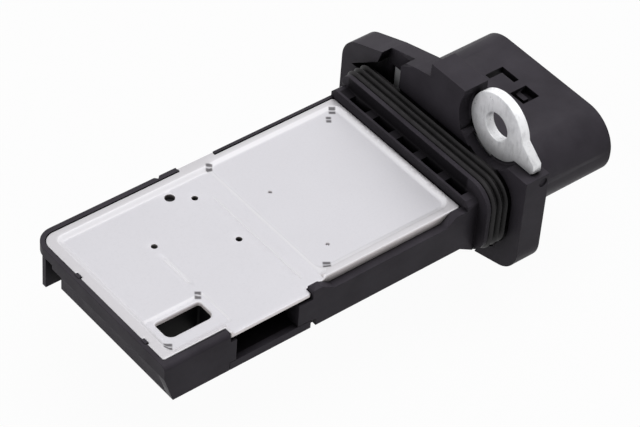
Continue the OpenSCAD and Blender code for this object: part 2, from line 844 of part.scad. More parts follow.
// Seal: a flat ring with three rounded ribs
module duct_seal() {
    base_t = seal_t - rib_r;
    color([0.05, 0.05, 0.055])
        translate([-seal_w, -seal_shift_y, seal_shift_z])
            sweep_seal()
                union() {
                    translate([-seal_t, 0])
                        square([base_t, seal_w + seal_seat]);
                    for (i = [0:2])
                        translate([-rib_r, (i + 0.5) * seal_w / 3])
                            circle(rib_r, $fn = 16);
                }
}

// Mounting plate: one steel stamping with a window for the leads, an eyelet and a tail at two corners
module mounting_outline() {
    difference() {
        union() {
            square([24.6, 18.8], center = true);
            eyelet_area(eyelet_r);
            for (side = [0, 180])
                rotate(side)
                    polygon([[-eyelet_y, eyelet_z + 1.6], [1 - eyelet_y - eyelet_r, eyelet_z + 1.6],
                        [0.1 - eyelet_y - tail_l, shoulder_h + 2], [-eyelet_y - tail_l, shoulder_h + 0.6],
                        [0.6 - eyelet_y - tail_l, shoulder_h + 0.01], [-eyelet_y, shoulder_h + 0.01]]);
        }
        eyelet_area(screw_r);
        square([19.8, 9], center = true);
    }
}

module mounting_plate_body() {
    along_x(insert_depth, insert_t)
        mounting_outline();
}

module mounting_plate() {
    color([0.72, 0.73, 0.74])
        mounting_plate_body();
}

// One lead, from its pad in the chamber through the neck to the contact in the shroud
module lead(i) {
    neck_y = (i - 3) * pocket_pitch - connector_shift;
    contact_y = (i - 3) * contact_pitch - connector_shift;
    end_x = shroud_reach - contact_recess;
    half = lead_w / 2;
    wide = contact_w / 2;
    pad = 0.9;
    // Points along the lead: x, the middle's y and half the width there
    way = [[lead_x0, neck_y, pad], [chamber_x1, neck_y, pad], [chamber_x1 + 0.5, neck_y, half],
        [collar_x, neck_y, half], [-0.6, contact_y, half], [shroud_floor_x, contact_y, half],
        [shroud_floor_x, contact_y, wide], [end_x - 1, contact_y, wide], [end_x, contact_y, wide - 0.5]];
    last = len(way) - 1;
    between(-lead_t / 2, lead_t / 2)
        polygon(concat([for (p = way) [p[0], p[1] - p[2]]],
            [for (i = [0:last]) [way[last - i][0], way[last - i][1] + way[last - i][2]]]));
}

module terminal(i) {
    color([0.8, 0.66, 0.38])
        lead(i);
}

// Part of the blade between the air inlet, the passage and the outlet, which carries the window
module tip_block_area() {
    area(lip_x, near_y, inlet_x0, outlet_y0);
}

// The air passage parts each adhesive bead in two: one run round the window, one round the chamber
module bead_run(at_tip) {
    difference() {
        if (at_tip)
            intersection() {
                children();
                tip_block_area();
            }
        else
            difference() {
                children();
                tip_block_area();
            }
        offset(delta = bead_back) {
            passage_outline();
            chamber_outline();
            window_outline(0);
        }
    }
}

module plate_adhesive(at_tip) {
    color([0.3, 0.3, 0.31])
        between(seat_z, plate_z)
            bead_run(at_tip)
                intersection() {
                    offset(delta = -bead_back)
                        plate_outline(0);
                    area(wall_x + 0.4, near_y, plate_end_x, far_y);
                }
}

module cover_adhesive(at_tip) {
    color([0.3, 0.3, 0.31])
        between(cover_z, floor_z)
            difference() {
                bead_run(at_tip)
                    offset(delta = -bead_back)
                        cover_outline(0);
                offset(delta = bead_back)
                    core_pocket_outline();
            }
}

module board_adhesive() {
    color([0.7, 0.7, 0.68])
        between(board_z1, plate_z)
            area(board_x0, board_y0, board_x1, board_y1);
}

// Circuit board and the parts on its lower face
module circuit_board() {
    color([0.9, 0.9, 0.86])
        between(board_z0, board_z1)
            area(board_x0, board_y0, board_x1, board_y1);
}

// A block on the board's lower face, placed from the board's middle
module chip(x, y, length, width, height) {
    translate([(board_x0 + board_x1) / 2 + x, (board_y0 + board_y1) / 2 + y, board_z0 - height])
        translate([-length / 2, -width / 2, 0])
            cube([length, width, height]);
}

module control_chip() {
    color([0.08, 0.08, 0.09])
        chip(1, 2, control_l, control_w, chip_h);
}

module regulator_chip() {
    color([0.1, 0.1, 0.11])
        chip(-4.5, -7, regulator_l, regulator_w, chip_h);
}

module capacitor(i) {
    color([0.66, 0.52, 0.38])
        chip(3 * i - 1, -6.5, capacitor_l, capacitor_w, capacitor_h);
}

module resistor(i) {
    color([0.13, 0.13, 0.14])
        chip(3 * i - 9, 9, resistor_l, resistor_w, resistor_h);
}

// Bonding leads: one to five reach the terminals, six to eleven the sensing pins
module bond_lead(i) {
    to_terminal = i <= 5;
    pad_y = to_terminal ? (i - 3) * pad_pitch - connector_shift / 2 : pin_y(i - 5) * 0.8 + 1;
    end_y = to_terminal ? (i - 3) * pocket_pitch - connector_shift : pin_y(i - 5);
    board_x = to_terminal ? board_x1 : board_x0;
    face_z = to_terminal ? -lead_t / 2 : -pin_s / 2;
    end_x = to_terminal ? lead_x0 : pin_x1;
    way = to_terminal ? 1 : -1;
    half = bond_w / 2;
    color([0.85, 0.85, 0.86])
        intersection() {
            along_y(near_y, blade_w)
                polygon([[board_x - way * 1.4, board_z0], [board_x - way * 0.5, board_z0],
                    [end_x - way * 0.15, face_z], [end_x + way * 0.9, face_z],
                    [end_x + way * 0.9, face_z - bond_t], [end_x - way * 0.3, face_z - bond_t],
                    [board_x - way * 0.6, board_z0 - bond_t], [board_x - way * 1.4, board_z0 - bond_t]]);
            between(-top_z, top_z)
                polygon([[board_x - way * 1.6, pad_y - half], [board_x - way * 0.5, pad_y - half],
                    [end_x, end_y - half], [end_x + way * 1.2, end_y - half],
                    [end_x + way * 1.2, end_y + half], [end_x, end_y + half],
                    [board_x - way * 0.5, pad_y + half], [board_x - way * 1.6, pad_y + half]]);
        }
}

// Square pins through the partition, in three pairs
function pin_y(i) = first_pin_y + floor((i - 1) / 2) * pair_pitch + (1 - i % 2) * pin_pitch;

module sensing_pin_body(i) {
    translate([pin_x0, pin_y(i) - pin_s / 2, -pin_s / 2])
        cube([pin_x1 - pin_x0, pin_s, pin_s]);
}

module sensing_pin(i) {
    color([0.78, 0.78, 0.76])
        sensing_pin_body(i);
}

// A sensing element: its body between two wire ends that lie on a pair of pins
module element(pair, d, length) {
    wire_d = 0.25;
    y0 = pin_y(2 * pair - 1);
    translate([pin_x0 + 0.4, y0 + pin_pitch / 2, pin_s / 2 + wire_d / 2])
        rotate([90, 0, 0]) {
            cylinder(h = length, d = d, center = true, $fn = 16);
            cylinder(h = pin_pitch + pin_s, d = wire_d, center = true, $fn = 12);
        }
}

module hot_element() {
    color([0.93, 0.93, 0.9])
        element(1, element_d, element_l);
}

module compensation_element() {
    color([0.35, 0.5, 0.35])
        element(2, element_d, element_l);
}

module temperature_bead() {
    color([0.85, 0.45, 0.2])
        element(3, bead_d, min(bead_d * 1.3, pin_pitch - pin_s - 0.2));
}

// Soft gel over the board, round everything that stands in it
module chamber_gel() {
    color([0.8, 0.85, 0.9, 0.4])
        difference() {
            between(plate_z - gel_d, seat_z)
                chamber_outline();
            board_adhesive();
            circuit_board();
            control_chip();
            regulator_chip();
            for (i = [1:2]) {
                capacitor(i);
                resistor(i);
            }
            for (i = [1:11])
                bond_lead(i);
            for (i = [1:6])
                sensing_pin_body(i);
            for (i = [1:5])
                lead(i);
            between(lead_t / 2 - 0.01, plate_z)
                area(lead_x0, shelf_y0, chamber_x1 + 1, shelf_y1);
        }
}

housing();
base_plate();
underside_cover();
duct_seal();
mounting_plate();
plate_adhesive(true);  // plate_adhesive_tip
plate_adhesive(false);  // plate_adhesive_rear
cover_adhesive(true);  // cover_adhesive_tip
cover_adhesive(false);  // cover_adhesive_rear
board_adhesive();
terminal(1);  // terminal_1
terminal(2);  // terminal_2
terminal(3);  // terminal_3
terminal(4);  // terminal_4
terminal(5);  // terminal_5
circuit_board();
control_chip();
regulator_chip();
capacitor(1);  // capacitor_1
capacitor(2);  // capacitor_2
resistor(1);  // resistor_1
resistor(2);  // resistor_2
bond_lead(1);  // bond_lead_1
bond_lead(2);  // bond_lead_2
bond_lead(3);  // bond_lead_3
bond_lead(4);  // bond_lead_4
bond_lead(5);  // bond_lead_5
bond_lead(6);  // bond_lead_6
bond_lead(7);  // bond_lead_7
bond_lead(8);  // bond_lead_8
bond_lead(9);  // bond_lead_9
bond_lead(10);  // bond_lead_10
bond_lead(11);  // bond_lead_11
sensing_pin(1);  // sensing_pin_1
sensing_pin(2);  // sensing_pin_2
sensing_pin(3);  // sensing_pin_3
sensing_pin(4);  // sensing_pin_4
sensing_pin(5);  // sensing_pin_5
sensing_pin(6);  // sensing_pin_6
hot_element();
compensation_element();
temperature_bead();
chamber_gel();
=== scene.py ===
import json
import math

import bmesh
import bpy
from mathutils import Matrix, Vector
from mathutils.geometry import delaunay_2d_cdt


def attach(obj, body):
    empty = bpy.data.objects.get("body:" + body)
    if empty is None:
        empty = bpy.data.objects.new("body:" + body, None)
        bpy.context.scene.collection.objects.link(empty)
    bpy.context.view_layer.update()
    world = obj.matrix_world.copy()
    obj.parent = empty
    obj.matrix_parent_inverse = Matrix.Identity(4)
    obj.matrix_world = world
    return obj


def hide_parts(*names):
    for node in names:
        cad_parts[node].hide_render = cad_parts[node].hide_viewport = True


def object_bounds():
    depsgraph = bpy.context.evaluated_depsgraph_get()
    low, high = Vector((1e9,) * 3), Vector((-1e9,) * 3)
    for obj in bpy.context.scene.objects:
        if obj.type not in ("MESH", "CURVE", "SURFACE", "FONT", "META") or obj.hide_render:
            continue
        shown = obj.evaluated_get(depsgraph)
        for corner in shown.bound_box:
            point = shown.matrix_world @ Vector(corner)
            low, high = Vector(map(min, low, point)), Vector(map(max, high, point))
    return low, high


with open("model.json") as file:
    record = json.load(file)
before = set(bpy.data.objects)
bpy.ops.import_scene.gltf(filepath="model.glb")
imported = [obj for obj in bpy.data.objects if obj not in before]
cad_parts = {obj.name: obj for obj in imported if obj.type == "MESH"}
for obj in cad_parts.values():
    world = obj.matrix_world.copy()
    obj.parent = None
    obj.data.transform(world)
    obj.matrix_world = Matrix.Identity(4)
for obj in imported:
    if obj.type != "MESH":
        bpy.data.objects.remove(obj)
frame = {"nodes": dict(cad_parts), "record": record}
cadBox = [list(corner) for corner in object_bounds()]
nodes = frame["nodes"]
slotOf = {part["node"]: part["material_slot"] for part in frame["record"]["subparts"]}
mm = 0.001  # sizes below are in mm and angles in degrees, unless a note says otherwise
bpy.context.scene.view_settings.view_transform = "Standard"
print("frame loaded:", len(nodes), "nodes")

# Camera: found from the straight edges of the photographed sensor, so it is slightly rolled
camera = {
    "azimuth": -41.87,  # 0 looks along +Y
    "elevation": 42.81,
    "roll": 4.68,
    "lens": 162.56,
    "sensor": 36,
    "distance": 457.98,  # from the point it looks at
    "lookAt": (-23.231, -0.992, -0.15),
    "clip": (10, 20000),
}


def makeCamera():
    azimuth, elevation, roll = (math.radians(camera[k]) for k in ("azimuth", "elevation", "roll"))
    back = Vector((math.sin(azimuth) * math.cos(elevation), -math.cos(azimuth) * math.cos(elevation),
                   math.sin(elevation)))
    level = Vector((math.cos(azimuth), math.sin(azimuth), 0))
    upright = back.cross(level)
    right = level * math.cos(roll) + upright * math.sin(roll)
    up = upright * math.cos(roll) - level * math.sin(roll)
    data = bpy.data.cameras.new("camera")
    data.lens, data.sensor_width = camera["lens"], camera["sensor"]
    data.clip_start, data.clip_end = (limit * mm for limit in camera["clip"])
    viewer = bpy.data.objects.new("camera", data)
    standsAt = (Vector(camera["lookAt"]) + back * camera["distance"]) * mm
    turned = Matrix((right, up, back)).transposed().to_4x4()
    viewer.matrix_world = Matrix.Translation(standsAt) @ turned
    bpy.context.scene.collection.objects.link(viewer)
    bpy.context.scene.camera = viewer


# Light: one broad lamp over the connector's side, a weak fill, a dim room that the camera sees as white
studio = {
    # Each lamp: the direction it stands in, its size in metres and its watts
    "keyLamp": ((0.6, 0.12, 0.79), 1.04, 1.75),
    "fillLamp": ((-0.86, 0.05, 0.5), 0.5, 1.15),
    "topLamp": ((0.1, 0, 1), 0.7, 4.1),
    "lampDistance": 0.8,  # metres from the middle of the part
    "roomLevel": 0.42,
    "seenLevel": 1.0,
    "floorColour": (0.45, 0.45, 0.45, 1),
    "floorRoughness": 0.9,
    "floorShade": 0.04,  # how much of the real floor, and so of the shadow, the camera sees
    "floorSize": 4,  # metres
    "floorGap": 0.2,
    "white": (1, 1, 1, 1),
}


def addLamp(name):
    direction, size, watts = studio[name]
    data = bpy.data.lights.new(name, "AREA")
    data.shape, data.size, data.energy = "DISK", size, watts
    lamp = bpy.data.objects.new(name, data)
    towards = Vector(direction).normalized()
    middle = (Vector(cadBox[0]) + Vector(cadBox[1])) / 2
    lamp.location = middle + towards * studio["lampDistance"]
    lamp.rotation_mode = "QUATERNION"
    lamp.rotation_quaternion = towards.to_track_quat("Z", "Y")
    bpy.context.scene.collection.objects.link(lamp)
    return lamp


def addNode(tree, kind, values=None, **settings):
    made = tree.nodes.new(kind)
    for key, value in settings.items():
        setattr(made, key, value)
    for key, value in (values or {}).items():
        made.inputs[key].default_value = value
    return made


# What one maths node gives; each value is a number or what another node gives
def calculate(tree, operation, *values):
    made = addNode(tree, "ShaderNodeMath", operation=operation)
    for socket, value in zip(made.inputs, values):
        if isinstance(value, (int, float)):
            socket.default_value = value
        else:
            tree.links.new(value, socket)
    return made.outputs[0]


# Low at fromLow and high at fromHigh, which are set for the middle of a noise
def spread(tree, value, low, high, fromLow=0.3, fromHigh=0.7):
    ranged = addNode(tree, "ShaderNodeMapRange",
                     {"From Min": fromLow, "From Max": fromHigh, "To Min": low, "To Max": high})
    tree.links.new(value, ranged.inputs["Value"])
    return ranged.outputs["Result"]


# 1 for rays from the camera, off metal or through glass, which all see the white background
def backgroundRays(tree):
    ray = addNode(tree, "ShaderNodeLightPath").outputs
    bounced = calculate(tree, "MAXIMUM", ray["Is Glossy Ray"], ray["Is Transmission Ray"])
    return calculate(tree, "MAXIMUM", ray["Is Camera Ray"], bounced)


def makeRoom():
    world = bpy.data.worlds.new("room")
    world.use_nodes = True
    bpy.context.scene.world = world
    tree = world.node_tree
    background = tree.nodes["Background"]
    level = spread(tree, backgroundRays(tree), studio["roomLevel"], studio["seenLevel"], 0, 1)
    tree.links.new(level, background.inputs["Strength"])
    background.inputs["Color"].default_value = studio["white"]


def makeFloor():
    data = bpy.data.meshes.new("floor")
    half = studio["floorSize"] / 2
    low = cadBox[0][2] - studio["floorGap"] * mm
    corners = [(-half, -half, low), (half, -half, low), (half, half, low), (-half, half, low)]
    data.from_pydata(corners, [], [(0, 1, 2, 3)])
    floor = bpy.data.objects.new("floor", data)
    bpy.context.scene.collection.objects.link(floor)
    material = bpy.data.materials.new("paleFloor")
    material.use_nodes = True
    tree = material.node_tree
    shader = tree.nodes["Principled BSDF"]
    shader.inputs["Base Color"].default_value = studio["floorColour"]
    shader.inputs["Roughness"].default_value = studio["floorRoughness"]
    seen = addNode(tree, "ShaderNodeEmission", {"Color": studio["white"], "Strength": studio["seenLevel"]})
    mix = addNode(tree, "ShaderNodeMixShader")
    share = calculate(tree, "MULTIPLY", backgroundRays(tree), 1 - studio["floorShade"])
    tree.links.new(share, mix.inputs["Fac"])
    tree.links.new(shader.outputs[0], mix.inputs[1])
    tree.links.new(seen.outputs[0], mix.inputs[2])
    tree.links.new(mix.outputs[0], tree.nodes["Material Output"].inputs["Surface"])
    data.materials.append(material)


makeCamera()
makeRoom()
makeFloor()
addLamp("keyLamp")
addLamp("fillLamp")
overhead = addLamp("topLamp")
overhead.visible_glossy = False  # it only lifts the dull faces that look up
print("camera, room and lamps set")


# Finishes. A noise's scale is per metre of the frame, and a bump is its strength and its depth in mm
def startFinish(name, roughness, metallic=0.0):
    material = bpy.data.materials.new(name)
    material.use_nodes = True
    tree = material.node_tree
    shader = tree.nodes["Principled BSDF"]
    shader.inputs["Metallic"].default_value = metallic
    shader.inputs["Roughness"].default_value = roughness
    place = addNode(tree, "ShaderNodeTexCoord")
    return material, tree, shader, place.outputs["Object"]


def noiseAt(tree, place, scale, detail, stretch=None):
    if stretch:
        scaled = addNode(tree, "ShaderNodeVectorMath", {1: stretch}, operation="MULTIPLY")
        tree.links.new(place, scaled.inputs[0])
        place = scaled.outputs[0]
    noise = addNode(tree, "ShaderNodeTexNoise", {"Scale": scale, "Detail": detail, "Roughness": 0.55})
    tree.links.new(place, noise.inputs["Vector"])
    return noise.outputs["Fac"]


def axesOf(tree, vector):
    axes = addNode(tree, "ShaderNodeSeparateXYZ")
    tree.links.new(vector, axes.inputs[0])
    return axes.outputs


def blendColours(tree, factor, first, second):
    mix = addNode(tree, "ShaderNodeMix", data_type="RGBA")
    tree.links.new(factor, mix.inputs["Factor"])
    for socket, colour in (("A", first), ("B", second)):
        target = next(s for s in mix.inputs if s.name == socket and s.type == "RGBA")
        if isinstance(colour, tuple):
            target.default_value = (*colour[:3], 1)
        else:
            tree.links.new(colour, target)
    return next(s for s in mix.outputs if s.type == "RGBA")


def dimmed(colour, share):
    return tuple(c * share for c in colour)


# Edges too fine for the mesh catch light as if they had this radius
def roundedEdges(tree, radius):
    return addNode(tree, "ShaderNodeBevel", {"Radius": radius * mm}, samples=6).outputs["Normal"]


def addBump(tree, shader, height, strength, depth, under=None):
    bump = addNode(tree, "ShaderNodeBump", {"Strength": strength, "Distance": depth * mm})
    tree.links.new(height, bump.inputs["Height"])
    if under:
        tree.links.new(under, bump.inputs["Normal"])
    tree.links.new(bump.outputs["Normal"], shader.inputs["Normal"])
    return bump.outputs["Normal"]


# Near 1 on open faces and near 0 where walls stand within reach; the finishes use it to paint shade into
# pockets and folds
def paintedHollowShade(tree, reach, closed, opened):
    hollow = addNode(tree, "ShaderNodeAmbientOcclusion", {"Distance": reach * mm}, samples=8)
    return calculate(tree, "POWER", spread(tree, hollow.outputs["AO"], 0, 1, closed, opened), 2)


# 1 inside a box, 0 outside it
def insideBox(tree, place, low, high):
    middle = (Vector(low) + Vector(high)) / 2 * mm
    half = (Vector(high) - Vector(low)) / 2 * mm
    for operation, amount in (("SUBTRACT", middle), ("DIVIDE", half), ("ABSOLUTE", None)):
        step = addNode(tree, "ShaderNodeVectorMath", operation=operation)
        tree.links.new(place, step.inputs[0])
        if amount:
            step.inputs[1].default_value = amount
        place = step.outputs[0]
    axes = axesOf(tree, place)
    furthest = calculate(tree, "MAXIMUM", calculate(tree, "MAXIMUM", axes["X"], axes["Y"]), axes["Z"])
    return spread(tree, furthest, 1, 0, 0.98, 1)


plastic = {
    "dark": (0.0293, 0.0262, 0.0318), "light": (0.0415, 0.0374, 0.045),
    "roughness": 0.44, "uneven": (-0.04, 0.06),
    "gloss": 0.05,
    "edge": 0.14,
    "hollow": (6.5, 0.1, 0.85), "paintedShadeShare": 0.1,
    # Places painted darker as shade: low corner, high corner and the share of the colour that stays
    "paintedShadeBoxes": (
        ((-63.6, -14.9, -6.5), (-8, 14.9, 2.2), 0.12),  # the unlit inside of the blade
        ((-52.35, -16.3, -6.6), (-40.55, -14.7, 2.6), 0.15),  # the air inlet's mouth
        ((-6.35, -14.4, 0), (-4.5, 15.6, 7.6), 0.38),  # painted shade in the pockets before the seal
    ),
    "cloud": {"scale": 160, "detail": 4},
    "flow": {"scale": 420, "detail": 3, "stretch": (0.35, 1, 1)},
    "broad": {"scale": 900, "detail": 2}, "broadBump": (0.12, 0.06),
    "grain": {"scale": 7000, "detail": 2}, "grainStrength": 0.22, "grainDepth": 0.02,
}


def plasticFinish(name, roughness, lift=1.0, grainStrength=plastic["grainStrength"]):
    material, tree, shader, place = startFinish(name, roughness)
    dark, light = dimmed(plastic["dark"], lift), dimmed(plastic["light"], lift)
    cloud = noiseAt(tree, place, **plastic["cloud"])
    colour = blendColours(tree, spread(tree, cloud, 0, 1), dark, light)
    # paints shade into the blade's inside, the air inlet's mouth and the pockets before the seal
    for low, high, share in plastic["paintedShadeBoxes"]:
        colour = blendColours(tree, insideBox(tree, place, low, high), colour, dimmed(dark, share))
    # paints shade into pockets and folds, darker the closer the walls stand
    openness = paintedHollowShade(tree, *plastic["hollow"])
    colour = blendColours(tree, openness, dimmed(dark, plastic["paintedShadeShare"]), colour)
    tree.links.new(colour, shader.inputs["Base Color"])
    shader.inputs["Specular IOR Level"].default_value = plastic["gloss"]
    flow = noiseAt(tree, place, **plastic["flow"])
    lower, upper = (roughness + swing for swing in plastic["uneven"])
    tree.links.new(spread(tree, flow, lower, upper), shader.inputs["Roughness"])
    broad = noiseAt(tree, place, **plastic["broad"])
    grain = noiseAt(tree, place, **plastic["grain"])
    rounded = roundedEdges(tree, plastic["edge"])
    waved = addBump(tree, shader, broad, *plastic["broadBump"], rounded)
    addBump(tree, shader, grain, grainStrength, plastic["grainDepth"], waved)
    return material


rubber = {
    "dark": (0.02, 0.0185, 0.0195), "light": (0.034, 0.032, 0.034),
    "roughness": (0.34, 0.5),
    "gloss": 0.16,
    "edge": 0.08,
    "hollow": (2.2, 0.4, 0.95), "paintedShadeShare": 0.05,
    "cloud": {"scale": 500, "detail": 4},
    "streak": {"scale": 2600, "detail": 3, "stretch": (3, 0.4, 0.4)}, "streakBump": (0.3, 0.04),
}


def rubberFinish(name):
    material, tree, shader, place = startFinish(name, rubber["roughness"][1])
    cloud = noiseAt(tree, place, **rubber["cloud"])
    colour = blendColours(tree, spread(tree, cloud, 0, 1), rubber["dark"], rubber["light"])
    # paints shade into the valleys between the ribs
    openness = paintedHollowShade(tree, *rubber["hollow"])
    colour = blendColours(tree, openness, dimmed(rubber["dark"], rubber["paintedShadeShare"]), colour)
    tree.links.new(colour, shader.inputs["Base Color"])
    shader.inputs["Specular IOR Level"].default_value = rubber["gloss"]
    tree.links.new(spread(tree, cloud, *rubber["roughness"]), shader.inputs["Roughness"])
    streak = noiseAt(tree, place, **rubber["streak"])
    addBump(tree, shader, streak, *rubber["streakBump"], roundedEdges(tree, rubber["edge"]))
    return material


aluminium = {
    "panel": (0.567, 0.559, 0.59), "dull": (0.52, 0.512, 0.541), "dullShare": 0.35,
    "speck": (0.5, 0.495, 0.52), "speckShare": 0.3, "speckFrom": (0.52, 0.75),
    "rim": (0.505, 0.493, 0.513), "rimHeight": (3.5, 3.6),
    "bend": (0.65, 0.64, 0.665), "paintedHighlightSlope": (0.925, 0.985),  # a highlight painted on the slopes, by how far they tilt
    "cut": (0.82, 0.77, 0.77), "cutPaintedShade": (0.012, 0.011, 0.011), "cutSlope": (0.3, 0.7),
    "hollow": (3, 0.1, 0.85),
    "metallic": 0.45, "cutMetallic": 0.3,
    "roughness": 0.42, "burnished": 0.34, "uneven": 0.12,
    # Painted shade and dark reflections in the corners of the panels, two short bars each: x, y and half
    # length
    "paintedCornerShades": ((-8.92, 14.11, 0.55), (-10.7, 12.77, 0.42), (-33.73, 14.49, 0.52), (-52.23, -7.2, 0.5),
                (-62.39, -13.34, 0.65), (-32.24, -13.56, 0.62)),
    "paintedCornerShade": (0.06, 0.055, 0.06), "cornerShadeStrength": 0.9,
    "cornerShadeTurn": -35,
    "barPlace": 0.4, "barHalf": (0.2, 0.42), "barEnd": 0.12,
    "cloud": {"scale": 70, "detail": 5},
    "speckle": {"scale": 2600, "detail": 4}, "speckleBump": (0.06, 0.04),
    "wave": {"scale": 120, "detail": 2}, "waveBump": (0.1, 0.3),
}


# Two short bars side by side, softly edged, for painted shade and dark reflections at a corner
def paintedCornerMask(tree, place, x, y, half):
    turned = addNode(tree, "ShaderNodeMapping", vector_type="TEXTURE")
    turned.inputs["Location"].default_value = (x * mm, y * mm, 0)
    turned.inputs["Rotation"].default_value = (0, 0, math.radians(aluminium["cornerShadeTurn"]))
    tree.links.new(place, turned.inputs["Vector"])
    axes = axesOf(tree, turned.outputs[0])
    along = calculate(tree, "ABSOLUTE", axes["X"])
    across = calculate(tree, "ABSOLUTE", axes["Y"])
    offBar = calculate(tree, "ABSOLUTE", calculate(tree, "SUBTRACT", across, aluminium["barPlace"] * mm))
    soft = aluminium["barEnd"]
    barFrom, barTo = aluminium["barHalf"]
    lengthwise = spread(tree, along, 1, 0, (half - soft) * mm, (half + soft) * mm)
    crosswise = spread(tree, offBar, aluminium["cornerShadeStrength"], 0, barFrom * mm, barTo * mm)
    return calculate(tree, "MULTIPLY", lengthwise, crosswise)


def aluminiumFinish(name):
    material, tree, shader, place = startFinish(name, aluminium["roughness"], aluminium["metallic"])
    cloud = noiseAt(tree, place, **aluminium["cloud"])
    speckle = noiseAt(tree, place, **aluminium["speckle"])
    facingUp = axesOf(tree, addNode(tree, "ShaderNodeNewGeometry").outputs["Normal"])["Z"]
    height = axesOf(tree, place)["Z"]
    dull = spread(tree, cloud, 0, aluminium["dullShare"])
    colour = blendColours(tree, dull, aluminium["panel"], aluminium["dull"])
    specks = spread(tree, speckle, 0, aluminium["speckShare"], *aluminium["speckFrom"])
    colour = blendColours(tree, specks, colour, aluminium["speck"])
    rim = spread(tree, height, 0, 1, *(level * mm for level in aluminium["rimHeight"]))
    colour = blendColours(tree, rim, colour, aluminium["rim"])
    # paints a highlight on the pressed slopes, lighter the more they tilt
    bend = spread(tree, facingUp, 1, 0, *aluminium["paintedHighlightSlope"])
    colour = blendColours(tree, bend, colour, aluminium["bend"])
    face = spread(tree, facingUp, 0, 1, *aluminium["cutSlope"])
    # paints shade on the cut edges deep in holes and notches
    openness = paintedHollowShade(tree, *aluminium["hollow"])
    cut = blendColours(tree, openness, aluminium["cutPaintedShade"], aluminium["cut"])
    colour = blendColours(tree, face, cut, colour)
    # paints shade and dark reflections into the corners of the panels
    for paintedCornerShade in aluminium["paintedCornerShades"]:
        colour = blendColours(tree, paintedCornerMask(tree, place, *paintedCornerShade), colour, aluminium["paintedCornerShade"])
    tree.links.new(colour, shader.inputs["Base Color"])
    metallic = spread(tree, face, aluminium["cutMetallic"], aluminium["metallic"], 0, 1)
    tree.links.new(metallic, shader.inputs["Metallic"])
    rough = spread(tree, rim, aluminium["roughness"], aluminium["burnished"], 0, 1)
    uneven = calculate(tree, "MULTIPLY_ADD", speckle, aluminium["uneven"], rough)
    tree.links.new(uneven, shader.inputs["Roughness"])
    wave = noiseAt(tree, place, **aluminium["wave"])
    waved = addBump(tree, shader, wave, *aluminium["waveBump"])
    addBump(tree, shader, speckle, *aluminium["speckleBump"], waved)
    return material


zinc = {
    "bright": (0.92, 0.922, 0.94),
    "dark": (0.6, 0.603, 0.62), "darkShare": 0.75, "darkFrom": (0.45, 0.75),
    "scratched": (0.2, 0.2, 0.21), "scratchedShare": 0.3, "scratchedFrom": (0.5, 0.75),
    "paintedShade": (0.3, 0.3, 0.31), "hollow": (5, 0.1, 0.9),  # painted shade where other pieces stand close
    "roughness": (0.26, 0.46), "metallic": 0.3,
    "blotch": {"scale": 320, "detail": 5}, "blotchBump": (0.25, 0.15),
    "scratch": {"scale": 1500, "detail": 4, "stretch": (1, 1, 0.25)}, "scratchBump": (0.2, 0.04),
}


def zincFinish(name):
    material, tree, shader, place = startFinish(name, zinc["roughness"][1], zinc["metallic"])
    blotch = noiseAt(tree, place, **zinc["blotch"])
    scratch = noiseAt(tree, place, **zinc["scratch"])
    dark = spread(tree, blotch, 0, zinc["darkShare"], *zinc["darkFrom"])
    colour = blendColours(tree, dark, zinc["bright"], zinc["dark"])
    scratched = spread(tree, scratch, 0, zinc["scratchedShare"], *zinc["scratchedFrom"])
    colour = blendColours(tree, scratched, colour, zinc["scratched"])
    # paints shade on the steel where other pieces stand close
    colour = blendColours(tree, paintedHollowShade(tree, *zinc["hollow"]), zinc["paintedShade"], colour)
    tree.links.new(colour, shader.inputs["Base Color"])
    tree.links.new(spread(tree, blotch, *zinc["roughness"]), shader.inputs["Roughness"])
    blotched = addBump(tree, shader, blotch, *zinc["blotchBump"])
    addBump(tree, shader, scratch, *zinc["scratchBump"], blotched)
    return material


# The pieces inside: drawn metals, and the ceramics, resins and gels between them
inside = {
    "uneven": (-0.05, 0.1),
    "metal": {"scale": 1800, "detail": 3, "stretch": (0.15, 1, 1)}, "metalDim": 0.72,
    "metalBump": (0.15, 0.03),
    "filler": {"scale": 900, "detail": 3}, "fillerDim": 0.7, "fillerBump": (0.2, 0.05),
}


def insideFinish(name, kind, colour, roughness, metallic, transmission):
    material, tree, shader, place = startFinish(name, roughness, metallic)
    noise = noiseAt(tree, place, **inside[kind])
    mixed = blendColours(tree, spread(tree, noise, 0, 1), colour, dimmed(colour, inside[kind + "Dim"]))
    tree.links.new(mixed, shader.inputs["Base Color"])
    lower, upper = (roughness + swing for swing in inside["uneven"])
    tree.links.new(spread(tree, noise, lower, upper), shader.inputs["Roughness"])
    shader.inputs["Transmission Weight"].default_value = transmission
    addBump(tree, shader, noise, *inside[kind + "Bump"])
    return material


def metalFinish(name, colour, roughness):
    return insideFinish(name, "metal", colour, roughness, 1.0, 0.0)


def fillerFinish(name, colour, roughness, transmission=0.0):
    return insideFinish(name, "filler", colour, roughness, 0.0, transmission)


